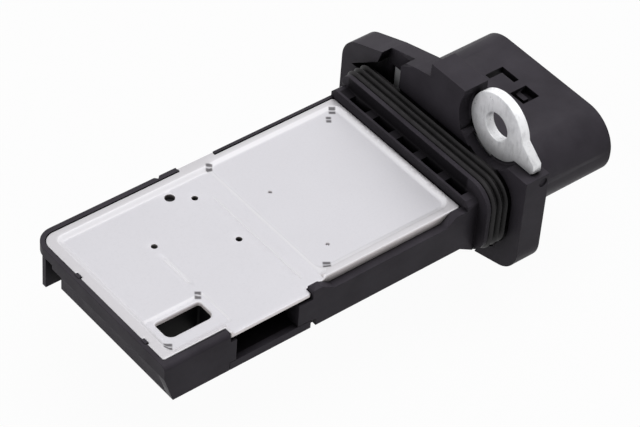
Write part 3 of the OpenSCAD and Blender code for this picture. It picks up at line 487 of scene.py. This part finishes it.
finishes = {
    "black_moulding": plasticFinish("blackNylon", plastic["roughness"]),
    "cover_moulding": plasticFinish("coverNylon", 0.5, lift=1.1, grainStrength=0.3),
    "seal_rubber": rubberFinish("sealRubber"),
    "plate_aluminium": aluminiumFinish("pressedAluminium"),
    "zinc_steel": zincFinish("zincSteel"),
    "contact_tin": metalFinish("tinnedContact", (0.62, 0.58, 0.46), 0.3),
    "adhesive": fillerFinish("blackAdhesive", (0.03, 0.03, 0.032), 0.5),
    "board_ceramic": fillerFinish("ceramicBoard", (0.72, 0.72, 0.66), 0.5),
    "chip_black": fillerFinish("chipBody", (0.02, 0.02, 0.022), 0.55),
    "capacitor_tan": fillerFinish("capacitorBody", (0.36, 0.22, 0.12), 0.4),
    "bond_metal": metalFinish("bondRibbon", (0.75, 0.75, 0.76), 0.3),
    "pin_metal": metalFinish("pinNickel", (0.62, 0.61, 0.58), 0.28),
    "element_white": fillerFinish("whiteGlaze", (0.8, 0.8, 0.74), 0.25),
    "element_green": fillerFinish("greenGlaze", (0.1, 0.2, 0.1), 0.25),
    "bead_amber": fillerFinish("amberBead", (0.5, 0.16, 0.04), 0.2),
    "gel_clear": fillerFinish("clearGel", (0.75, 0.8, 0.82), 0.15, transmission=0.8),
}
print("finishes made:", len(finishes))


# The solid's own mesh with its doubled points joined
def cleanedSolid(node):
    work = bmesh.new()
    work.from_mesh(nodes[node].data)
    bmesh.ops.remove_doubles(work, verts=work.verts, dist=0.001 * mm)
    return work


# Turns what was built into a piece; edges sharper than the limit stay sharp in the shading
def finishPiece(name, work, slot, smoothLimit):
    data = bpy.data.meshes.new(name)
    work.to_mesh(data)
    work.free()
    data.materials.append(finishes[slot])
    for face in data.polygons:
        face.use_smooth = True
        face.material_index = 0
    data.set_sharp_from_angle(angle=math.radians(smoothLimit))
    piece = bpy.data.objects.new(name, data)
    bpy.context.scene.collection.objects.link(piece)
    print(name, len(data.polygons), "faces")
    return piece


# Mouldings and contacts keep their solids' forms
solids = {
    "smoothLimit": 16,
    "contacts": 5,
    # Thin skin under the square latch window, a sheet set there to stand in for shade, so that the window
    # looks closed and black from outside
    "latchShadeSkin": ((15.2, -5.4, 4.15), (19.6, -1.1, 4.95)),
}


def addBlock(work, low, high):
    middle = (Vector(low) + Vector(high)) / 2 * mm
    size = (Vector(high) - Vector(low)) * mm
    bmesh.ops.create_cube(work, size=1, matrix=Matrix.Translation(middle) @ Matrix.Diagonal((*size, 1)))


def solidPiece(name, node, block=None):
    work = cleanedSolid(node)
    if block:
        addBlock(work, *block)
    piece = finishPiece(name, work, slotOf[node], solids["smoothLimit"])
    plain = piece.data
    weighted = piece.modifiers.new("weighted", "WEIGHTED_NORMAL")
    weighted.keep_sharp = True
    graph = bpy.context.evaluated_depsgraph_get()
    piece.data = bpy.data.meshes.new_from_object(piece.evaluated_get(graph))
    piece.modifiers.clear()
    bpy.data.meshes.remove(plain)
    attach(piece, "root")
    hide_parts(node)


solidPiece("housingMoulding", "housing", block=solids["latchShadeSkin"])
solidPiece("undersideCover", "underside_cover")
for index in range(1, solids["contacts"] + 1):
    solidPiece("contact%d" % index, "terminal_%d" % index)


# Base plate: one sheet, meshed as a field of heights over its outline, so that the pressed slopes,
# the rolled cut edges and the scored lines are all real form
plate = {
    "tip": -65.0, "end": -6.9, "near": -15.7, "far": 16.3,
    "top": 3.85, "under": 2.25, "tongueUnder": 2.7,
    "farTipRadius": 2.4, "nearTipRadius": 0.4, "endRadius": 0.6,
    # Tongue over the air inlet and ear on the far side: from and to in X, and the Y it reaches
    "tongue": (-53.5, -37.9, -17.0), "tongueRadii": (0.4, 0.5),
    "ear": (-38.2, -31.2, 17.0),
    "tabs": (-11.0, 6.1), "tabHalf": 0.6, "tabDepth": 0.35,  # the housing's tabs bite into the tip edge
    # Pressed panels: low X and Y, high X and Y; how deep they are, and their corners' radius
    "tipPanel": (-63.5, -15.2, -32.5, 15.2), "tipDepth": 0.6, "tipRound": 1.7,
    "endPanel": (-34.7, -14.7, -7.3, 15.5), "endDepth": 0.4, "endRound": 2.4,
    "windowPanel": (-63.5, -15.4, -50.4, -6.2), "windowDepth": 0.8, "windowRound": 1.5,
    "slope": 1.3,
    # The step between the panels slopes longer, and the tip panel's corners there start a little early
    "stepSlope": 2.2, "stepCorner": 1.9, "stepEarly": 0.9,
    # The tip panel runs out over the near edge: from and to in X, and from which Y
    "runOut": (-53.1, -34.1, -12.7), "runOutSlope": 0.35,
    "window": (-61.2, -12.0, -52.7, -8.2), "windowRadii": (0.55, 1.2),
    "vent": (-42.8, 12.7, 0.85),
    "gauges": ((-39.6, 10.4, 0.52), (-51.3, 5.2, 0.52), (-39.6, -1.0, 0.52)),
    "punches": ((-29.2, 4.5), (-29.2, -10.0)), "punchRadius": 0.36, "punchDepth": 0.35, "punchSlope": 0.18,
    # Scored lines: X, from and to in Y, half width and depth
    "scores": ((-37.1, -13.6, 9.5, 0.15, 0.09), (-51.6, -4.8, 2.7, 0.5, 0.2)), "scoreEnd": 0.5,
    "rolled": 0.26, "windowRolled": 0.34, "holeRolled": 0.12,
    "smoothLimit": 42,
    # How fine the mesh is
    "rolledShares": (0, 0.12, 0.35, 0.65, 1),
    "edgeSpacing": 0.45, "windowSpacing": 0.4, "holeSteps": 28,
    "scoreShares": (-1, -0.4, 0, 0.4, 1), "scoreSpacing": 0.5,
    "punchRings": (0.1, 0.2, 0.28, 0.36, 0.46), "punchSteps": 18,
    "grid": 1.4, "fineGrid": 0.13, "gridStart": (0.5, 0.45), "gridEnd": 0.4,
    "fineX": ((-63.6, -61.4), (-53.3, -52.6), (-52.2, -50.2), (-34.9, -32.3), (-10, -7.2)),
    "fineY": ((-15.3, -12.5), (-8.2, -6.0), (12.8, 15.3)),
    "tongueRows": (-16.7, -16.2),
    # Room that the grid leaves beside edges, the window, holes, punches and scores
    "edgeRoom": 0.42, "windowRoom": 0.46, "holeRoom": 0.25, "punchRoom": 0.6, "scoreRoom": (0.12, 0.2),
    "roundTip": 4, "tabZone": 1, "tongueRoot": 2, "windowCorner": 0.6,
}


# A straight ramp from 0 to 1 whose ends bend in softly
def easedStep(value, bend=0.3):
    value = min(max(value, 0.0), 1.0)
    if value > 0.5:
        return 1 - easedStep(1 - value, bend)
    if value < bend:
        return value * value / (2 * bend * (1 - bend))
    return (value - bend / 2) / (1 - bend)


# Distance to the edge of a rounded rectangle, positive inside; without a radius it is nearly square
def insideRounded(x, y, box, radius=0.01):
    x0, y0, x1, y1 = box
    dx = abs(x - (x0 + x1) / 2) - (x1 - x0) / 2 + radius
    dy = abs(y - (y0 + y1) / 2) - (y1 - y0) / 2 + radius
    return radius - math.hypot(max(dx, 0), max(dy, 0)) - min(max(dx, dy), 0)


# How far a rolled edge of this radius drops at a distance in from its outline
def rolledDrop(radius, away):
    return radius - math.sqrt(radius ** 2 - (radius - away) ** 2)


def sheetTop(x, y):
    slope, box = plate["slope"], plate["tipPanel"]
    toStep = box[2] - x
    if toStep > plate["stepCorner"]:
        box = (*box[:2], box[2] - plate["stepEarly"], box[3])
    inTip = min(insideRounded(x, y, box, plate["tipRound"]), max(toStep * slope / plate["stepSlope"], 0))
    depths = [plate["tipDepth"] * easedStep(inTip / slope)]
    for name in ("end", "window"):
        inPanel = insideRounded(x, y, plate[name + "Panel"], plate[name + "Round"])
        depths.append(plate[name + "Depth"] * easedStep(inPanel / slope))
    runFrom, runTo, runY = plate["runOut"]
    if y < runY:
        inRunOut = min(x - runFrom, runTo - x)
        depths.append(plate["tipDepth"] * easedStep(inRunOut / plate["runOutSlope"]))
    depth = max(depths)
    for lineX, lineFrom, lineTo, half, cut in plate["scores"]:
        if abs(x - lineX) < half and lineFrom < y < lineTo:
            toEnd = min(y - lineFrom, lineTo - y) / plate["scoreEnd"]
            depth += cut * (1 - abs(x - lineX) / half) * min(toEnd, 1)
    for punchX, punchY in plate["punches"]:
        inPunch = plate["punchRadius"] - math.hypot(x - punchX, y - punchY)
        depth += plate["punchDepth"] * easedStep(inPunch / plate["punchSlope"])
    return plate["top"] - depth


# Closed run of points; each corner is x, y and the radius of its rounding
def loopWithArcs(corners, spacing):
    points = []
    count = len(corners)
    for index, (x, y, radius) in enumerate(corners):
        corner = Vector((x, y))
        if radius == 0:
            points.append(corner)
            continue
        before = (Vector(corners[index - 1][:2]) - corner).normalized()
        after = (Vector(corners[(index + 1) % count][:2]) - corner).normalized()
        middle = corner + (before + after) * radius
        start, end = -after * radius, -before * radius
        steps = max(4, int(radius * 8))
        for step in range(steps + 1):
            turn = math.pi / 2 * step / steps
            points.append(middle + start * math.cos(turn) + end * math.sin(turn))
    closed = []
    for index, point in enumerate(points):
        following = points[(index + 1) % len(points)]
        pieces = max(1, math.ceil((following - point).length / spacing))
        closed += [point.lerp(following, step / pieces) for step in range(pieces)]
    return closed


def circleLoop(x, y, radius, steps):
    turns = [2 * math.pi * step / steps for step in range(steps)]
    return [Vector((x + radius * math.cos(turn), y + radius * math.sin(turn))) for turn in turns]


# The same loop moved to its left by a distance
def insetLoop(loop, distance):
    moved = []
    for index, point in enumerate(loop):
        before = (point - loop[index - 1]).normalized()
        after = (loop[(index + 1) % len(loop)] - point).normalized()
        middle = Vector((-before.y - after.y, before.x + after.x))
        moved.append(point + middle * (2 * distance / max(middle.length_squared, 0.8)))
    return moved


# The sheet's outline, its window and its round holes, each with the radius of its rolled edge
def plateLoops():
    tip, end, near, far = plate["tip"], plate["end"], plate["near"], plate["far"]
    tongueFrom, tongueTo, tongueY = plate["tongue"]
    firstRadius, secondRadius = plate["tongueRadii"]
    earFrom, earTo, earY = plate["ear"]
    corners = [(tip, near, plate["nearTipRadius"]),
               (tongueFrom, near, 0), (tongueFrom, tongueY, firstRadius),
               (tongueTo, tongueY, secondRadius), (tongueTo, near, 0),
               (end, near, plate["endRadius"]), (end, far, plate["endRadius"]),
               (earTo, far, 0), (earTo, earY, 0), (earFrom, earY, 0), (earFrom, far, 0),
               (tip, far, plate["farTipRadius"])]
    half, deep = plate["tabHalf"], tip + plate["tabDepth"]
    for y in sorted(plate["tabs"], reverse=True):
        corners += [(tip, y + half, 0), (deep, y + half, 0), (deep, y - half, 0), (tip, y - half, 0)]
    x0, y0, x1, y1 = plate["window"]
    farRadius, nearRadius = plate["windowRadii"]
    window = [(x0, y1, farRadius), (x1, y1, farRadius), (x1, y0, nearRadius), (x0, y0, nearRadius)]
    loops = [(loopWithArcs(corners, plate["edgeSpacing"]), plate["rolled"]),
             (loopWithArcs(window, plate["windowSpacing"]), plate["windowRolled"])]
    for hole in (plate["vent"], *plate["gauges"]):
        loops.append((circleLoop(*hole, plate["holeSteps"])[::-1], plate["holeRolled"]))
    return loops


def gridLines(low, high, fineRuns):
    lines, at = [], low
    while at < high:
        lines.append(at)
        inFine = any(a - 0.01 <= at < b for a, b in fineRuns)
        step = plate["fineGrid"] if inFine else plate["grid"]
        ahead = [a for a, b in fineRuns if at < a < at + step]
        at = min(ahead) if ahead and not inFine else at + step
    return lines


# True where a grid point keeps clear of every edge and line that has points of its own
def keepGridPoint(x, y):
    room = plate["edgeRoom"]
    sheet = (plate["tip"], plate["near"], plate["end"], plate["far"])
    inSheet = insideRounded(x, y, sheet)
    if x <= plate["tip"] + plate["roundTip"] and y >= 0:
        inSheet = insideRounded(x, y, sheet, plate["farTipRadius"])
    tongueFrom, tongueTo, tongueY = plate["tongue"]
    inTongue = insideRounded(x, y, (tongueFrom, tongueY, tongueTo, plate["near"] + plate["tongueRoot"]))
    if max(inSheet, inTongue) < room:
        return False
    besideTab = any(abs(y - tab) < plate["tabHalf"] + room for tab in plate["tabs"])
    if besideTab and x < plate["tip"] + plate["tabZone"]:
        return False
    if insideRounded(x, y, plate["window"], plate["windowCorner"]) > -plate["windowRoom"]:
        return False
    if any(math.hypot(x - holeX, y - holeY) < radius + plate["holeRoom"]
           for holeX, holeY, radius in (plate["vent"], *plate["gauges"])):
        return False
    if any(math.hypot(x - punchX, y - punchY) < plate["punchRoom"] for punchX, punchY in plate["punches"]):
        return False
    beside, beyond = plate["scoreRoom"]
    return not any(abs(x - lineX) < half + beside and lineFrom - beyond < y < lineTo + beyond
                   for lineX, lineFrom, lineTo, half, cut in plate["scores"])


# Triangles over the sheet, with each point's drop at a rolled edge and the loop that it lies on
def makePlateMesh():
    points, drops, loopOf, edges = [], [], [], []

    def addRun(run, closed=False, drop=0, owner=-1):
        first, count = len(points), len(run)
        points.extend(Vector(spot) for spot in run)
        drops.extend([drop] * count)
        loopOf.extend([owner] * count)
        edges.extend((first + i, first + (i + 1) % count) for i in range(count if closed else count - 1))

    for owner, (loop, radius) in enumerate(plateLoops()):
        for share in plate["rolledShares"]:
            away = radius * share
            onEdge = share == 0
            addRun(loop if onEdge else insetLoop(loop, away), True, rolledDrop(radius, away),
                   owner if onEdge else -1)
    for lineX, lineFrom, lineTo, half, cut in plate["scores"]:
        rows = math.ceil((lineTo - lineFrom) / plate["scoreSpacing"])
        for side in plate["scoreShares"]:
            addRun([(lineX + side * half, lineFrom + (lineTo - lineFrom) * row / rows)
                    for row in range(rows + 1)])
    for x, y in plate["punches"]:
        for radius in plate["punchRings"]:
            addRun(circleLoop(x, y, radius, plate["punchSteps"]), True)
        addRun([(x, y)])
    startX, startY = plate["gridStart"]
    columns = gridLines(plate["tip"] + startX, plate["end"] - plate["gridEnd"], plate["fineX"])
    rows = gridLines(plate["near"] + startY, plate["far"] - plate["gridEnd"], plate["fineY"])
    rows += plate["tongueRows"]
    for x in columns:
        for y in rows:
            if keepGridPoint(x, y):
                addRun([(x, y)])
    found, _, faces, origins, _, _ = delaunay_2d_cdt(points, edges, [], 0, 0.001)
    source = [origin[0] for origin in origins]
    return found, faces, [drops[i] for i in source], [loopOf[i] for i in source]


def makeBasePlate():
    found, faces, drops, loopOf = makePlateMesh()
    work = bmesh.new()
    upper, lower = [], []
    for spot, drop in zip(found, drops):
        top = sheetTop(spot.x, spot.y) - drop
        under = plate["tongueUnder"] if spot.y < plate["near"] - 0.001 else plate["under"]
        upper.append(work.verts.new((spot.x * mm, spot.y * mm, top * mm)))
        lower.append(work.verts.new((spot.x * mm, spot.y * mm, under * mm)))
    for a, b, c in faces:
        owners = {loopOf[a], loopOf[b], loopOf[c]}
        if len(owners) == 1 and -1 not in owners:
            continue  # it bridges a hole or a notch of the outline
        if (found[b] - found[a]).cross(found[c] - found[a]) < 0:
            a, c = c, a
        work.faces.new((upper[a], upper[b], upper[c]))
        work.faces.new((lower[c], lower[b], lower[a]))
    pairs = dict(zip(upper, lower))
    rims = [e for e in work.edges if e.is_boundary and e.verts[0] in pairs and e.verts[1] in pairs]
    for edge in rims:
        loop = edge.link_loops[0]
        a, b = loop.vert, loop.link_loop_next.vert
        work.faces.new((b, a, pairs[a], pairs[b]))
    bmesh.ops.delete(work, geom=[v for v in work.verts if not v.link_faces], context="VERTS")
    piece = finishPiece("pressedBasePlate", work, slotOf["base_plate"], plate["smoothLimit"])
    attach(piece, "root")
    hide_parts("base_plate")


makeBasePlate()

# Mounting plate: the outline of the moulded-in steel, cut with rolled edges on both faces
steel = {
    "front": 2.0, "rear": 3.7, "rolled": 0.16,
    "eye": (-12.6, 13.85, 6.05),  # y, z and radius; the second eye is the first turned by half a turn
    "webFront": 2.45, "webRear": 3.62, "webHalf": (12.3, 9.4),  # the web stays inside the flange
    "rolledShares": (0, 0.1, 0.3, 0.6, 1),
    "arcStep": 0.09,  # radians
    "tolerance": 0.01,
    "smoothLimit": 50,
}


# Borders of the solid's flat face that looks along +X at one place, material on the left
def flatLoops(node, x):
    work = cleanedSolid(node)
    flat = [face for face in work.faces if face.normal.x > 0.99
            and abs(face.calc_center_median().x / mm - x) < steel["tolerance"]]
    within = set(flat)
    ahead = {}
    for face in flat:
        for loop in face.loops:
            if all(other in within for other in loop.edge.link_faces):
                continue
            start, end = ((round(v.co.y / mm, 3), round(v.co.z / mm, 3))
                          for v in (loop.vert, loop.link_loop_next.vert))
            ahead[start] = end
    work.free()
    loops = []
    while ahead:
        at = next(iter(ahead))
        loop = []
        while at in ahead:
            loop.append(Vector(at))
            at = ahead.pop(at)
        loops.append(loop)
    return loops


# The outer border is parted into its two eyes with their tails, each closed by its own arc, and the web
def eyesAndWeb(loops):
    outer = max(loops, key=lambda loop: max(spot.length for spot in loop))
    inner = [loop for loop in loops if loop is not outer]
    eyeY, eyeZ, radius = steel["eye"]
    halfY, halfZ = steel["webHalf"]
    near = steel["tolerance"]
    sheets = []
    for side in (1, -1):
        centre = Vector((eyeY, eyeZ)) * side
        kept = [spot for spot in outer if spot.dot(centre) > 0
                and not (abs(spot.x) < halfY + near and abs(spot.y) < halfZ + near)]
        turns = [math.atan2(spot.y - centre.y, spot.x - centre.x) for spot in kept]
        gaps = [(turns[(i + 1) % len(turns)] - turns[i]) % (2 * math.pi) for i in range(len(turns))]
        gap = max(range(len(gaps)), key=lambda i: gaps[i] if gaps[i] < math.pi else 0)
        kept = kept[gap + 1:] + kept[:gap + 1]
        steps = math.ceil(gaps[gap] / steel["arcStep"])
        arc = [turns[gap] + gaps[gap] * step / steps for step in range(1, steps)]
        kept += [centre + Vector((math.cos(turn), math.sin(turn))) * radius for turn in arc]
        holes = [loop for loop in inner if max((spot - centre).length for spot in loop) < radius]
        sheets.append(([kept, *holes], steel["front"], steel["rear"]))
    window = [loop for loop in inner if min(spot.length for spot in loop) < halfZ]
    web = [Vector(spot) for spot in ((-halfY, -halfZ), (halfY, -halfZ), (halfY, halfZ), (-halfY, halfZ))]
    sheets.append(([web, *window], steel["webFront"], steel["webRear"]))
    return sheets


def insideLoops(point, points, edges):
    crossed = 0
    for a, b in edges:
        p, q = points[a], points[b]
        if (p.y > point.y) != (q.y > point.y):
            crossed += point.x < p.x + (point.y - p.y) * (q.x - p.x) / (q.y - p.y)
    return crossed % 2 == 1


# One closed sheet between two places along X: its walls first, then its two flat faces
def addSheet(work, loops, front, rear):
    radius, shares = steel["rolled"], steel["rolledShares"]
    flats = {front: ([], [], []), rear: ([], [], [])}
    for loop in loops:
        rings = []
        for place, inward, order in ((rear, -1, shares[::-1]), (front, 1, shares)):
            for share in order:
                away = radius * share
                x = place + inward * rolledDrop(radius, away)
                spots = insetLoop(loop, away) if away else loop
                rings.append([work.verts.new((x * mm, spot.x * mm, spot.y * mm)) for spot in spots])
                if share == 1:
                    points, edges, verts = flats[place]
                    first, count = len(points), len(spots)
                    points.extend(spots)
                    verts.extend(rings[-1])
                    edges.extend((first + i, first + (i + 1) % count) for i in range(count))
        for ring, following in zip(rings, rings[1:]):
            for i in range(len(ring)):
                j = (i + 1) % len(ring)
                work.faces.new((ring[i], following[i], following[j], ring[j]))
    for points, edges, verts in flats.values():
        found, _, faces, origins, _, _ = delaunay_2d_cdt(points, edges, [], 0, 0.0001)
        for face in faces:
            middle = sum((found[i] for i in face), Vector((0, 0))) / len(face)
            if insideLoops(middle, points, edges):
                work.faces.new([verts[origins[i][0]] for i in face])


def makeMountingPlate():
    work = bmesh.new()
    for loops, front, rear in eyesAndWeb(flatLoops("mounting_plate", steel["rear"])):
        addSheet(work, loops, front, rear)
    bmesh.ops.recalc_face_normals(work, faces=work.faces)
    piece = finishPiece("mountingPlate", work, slotOf["mounting_plate"], steel["smoothLimit"])
    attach(piece, "root")
    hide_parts("mounting_plate")


makeMountingPlate()

# Seal: its ribbed section is swept round the keyed outline, whose far corners are the tighter ones
seal = {
    "overWidth": 37.4, "overHeight": 14.4,
    "nearRadius": 4.6, "farRadius": 2.4,
    "shiftY": -1.2, "shiftZ": 0.9,
    "length": 3.8, "seat": 0.3, "thickness": 2.1,
    "ribs": 3, "ribHeight": 0.66, "ribWidth": 1.04, "crest": 1.25,  # crest 1 is a sharp rib, 2 a round one
    "lip": (0.04, 0.06),
    "ribSteps": 12, "cornerSteps": 20, "sideSteps": 36,
    "smoothLimit": 50,
}


def sealPath():
    halfWidth, halfHeight = seal["overWidth"] / 2, seal["overHeight"] / 2
    points = []
    for signY, signZ, radius, start in ((1, 1, seal["farRadius"], 0), (-1, 1, seal["nearRadius"], 90),
                                        (-1, -1, seal["nearRadius"], 180), (1, -1, seal["farRadius"], 270)):
        middle = Vector((signY * (halfWidth - radius), signZ * (halfHeight - radius)))
        arc = []
        for step in range(seal["cornerSteps"] + 1):
            angle = math.radians(start + 90 * step / seal["cornerSteps"])
            outward = Vector((math.cos(angle), math.sin(angle)))
            arc.append((middle + outward * radius, outward))
        if points:
            points += straightRun(points[-1], arc[0])
        points += arc
    return points + straightRun(points[-1], points[0])


def straightRun(start, end):
    steps = seal["sideSteps"]
    return [(start[0].lerp(end[0], step / steps), start[1]) for step in range(1, steps)]


# Depth under the crests and place along X, from the flange side round the outside
def sealSection():
    front, height = -seal["length"], seal["ribHeight"]
    section = [(seal["thickness"], seal["seat"]), (height, seal["seat"])]
    pitch = seal["length"] / seal["ribs"]
    for rib in range(seal["ribs"]):
        middle = -pitch * (rib + 0.5)
        for step in range(seal["ribSteps"] + 1):
            across = 1 - 2 * step / seal["ribSteps"]
            section.append((height * abs(across) ** seal["crest"], middle + across * seal["ribWidth"] / 2))
    lipBack, lipDown = seal["lip"]
    section += [(height, front + lipBack), (height + lipDown, front), (seal["thickness"], front)]
    return section


def makeSeal():
    section = sealSection()
    shift = Vector((seal["shiftY"], seal["shiftZ"]))
    work = bmesh.new()
    rings = []
    for point, outward in sealPath():
        ring = []
        for depth, x in section:
            spot = point - outward * depth + shift
            ring.append(work.verts.new((x * mm, spot.x * mm, spot.y * mm)))
        rings.append(ring)
    count = len(section)
    for index, ring in enumerate(rings):
        following = rings[(index + 1) % len(rings)]
        for step in range(count):
            after = (step + 1) % count
            work.faces.new((ring[step], following[step], following[after], ring[after]))
    bmesh.ops.recalc_face_normals(work, faces=work.faces)
    piece = finishPiece("ductSeal", work, "seal_rubber", seal["smoothLimit"])
    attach(piece, "root")
    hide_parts("duct_seal")


makeSeal()

# The nodes that keep their own solids get their finish
for name, part in nodes.items():
    if not part.hide_render:
        part.data.materials.clear()
        part.data.materials.append(finishes[slotOf[name]])
print("inner pieces finished")
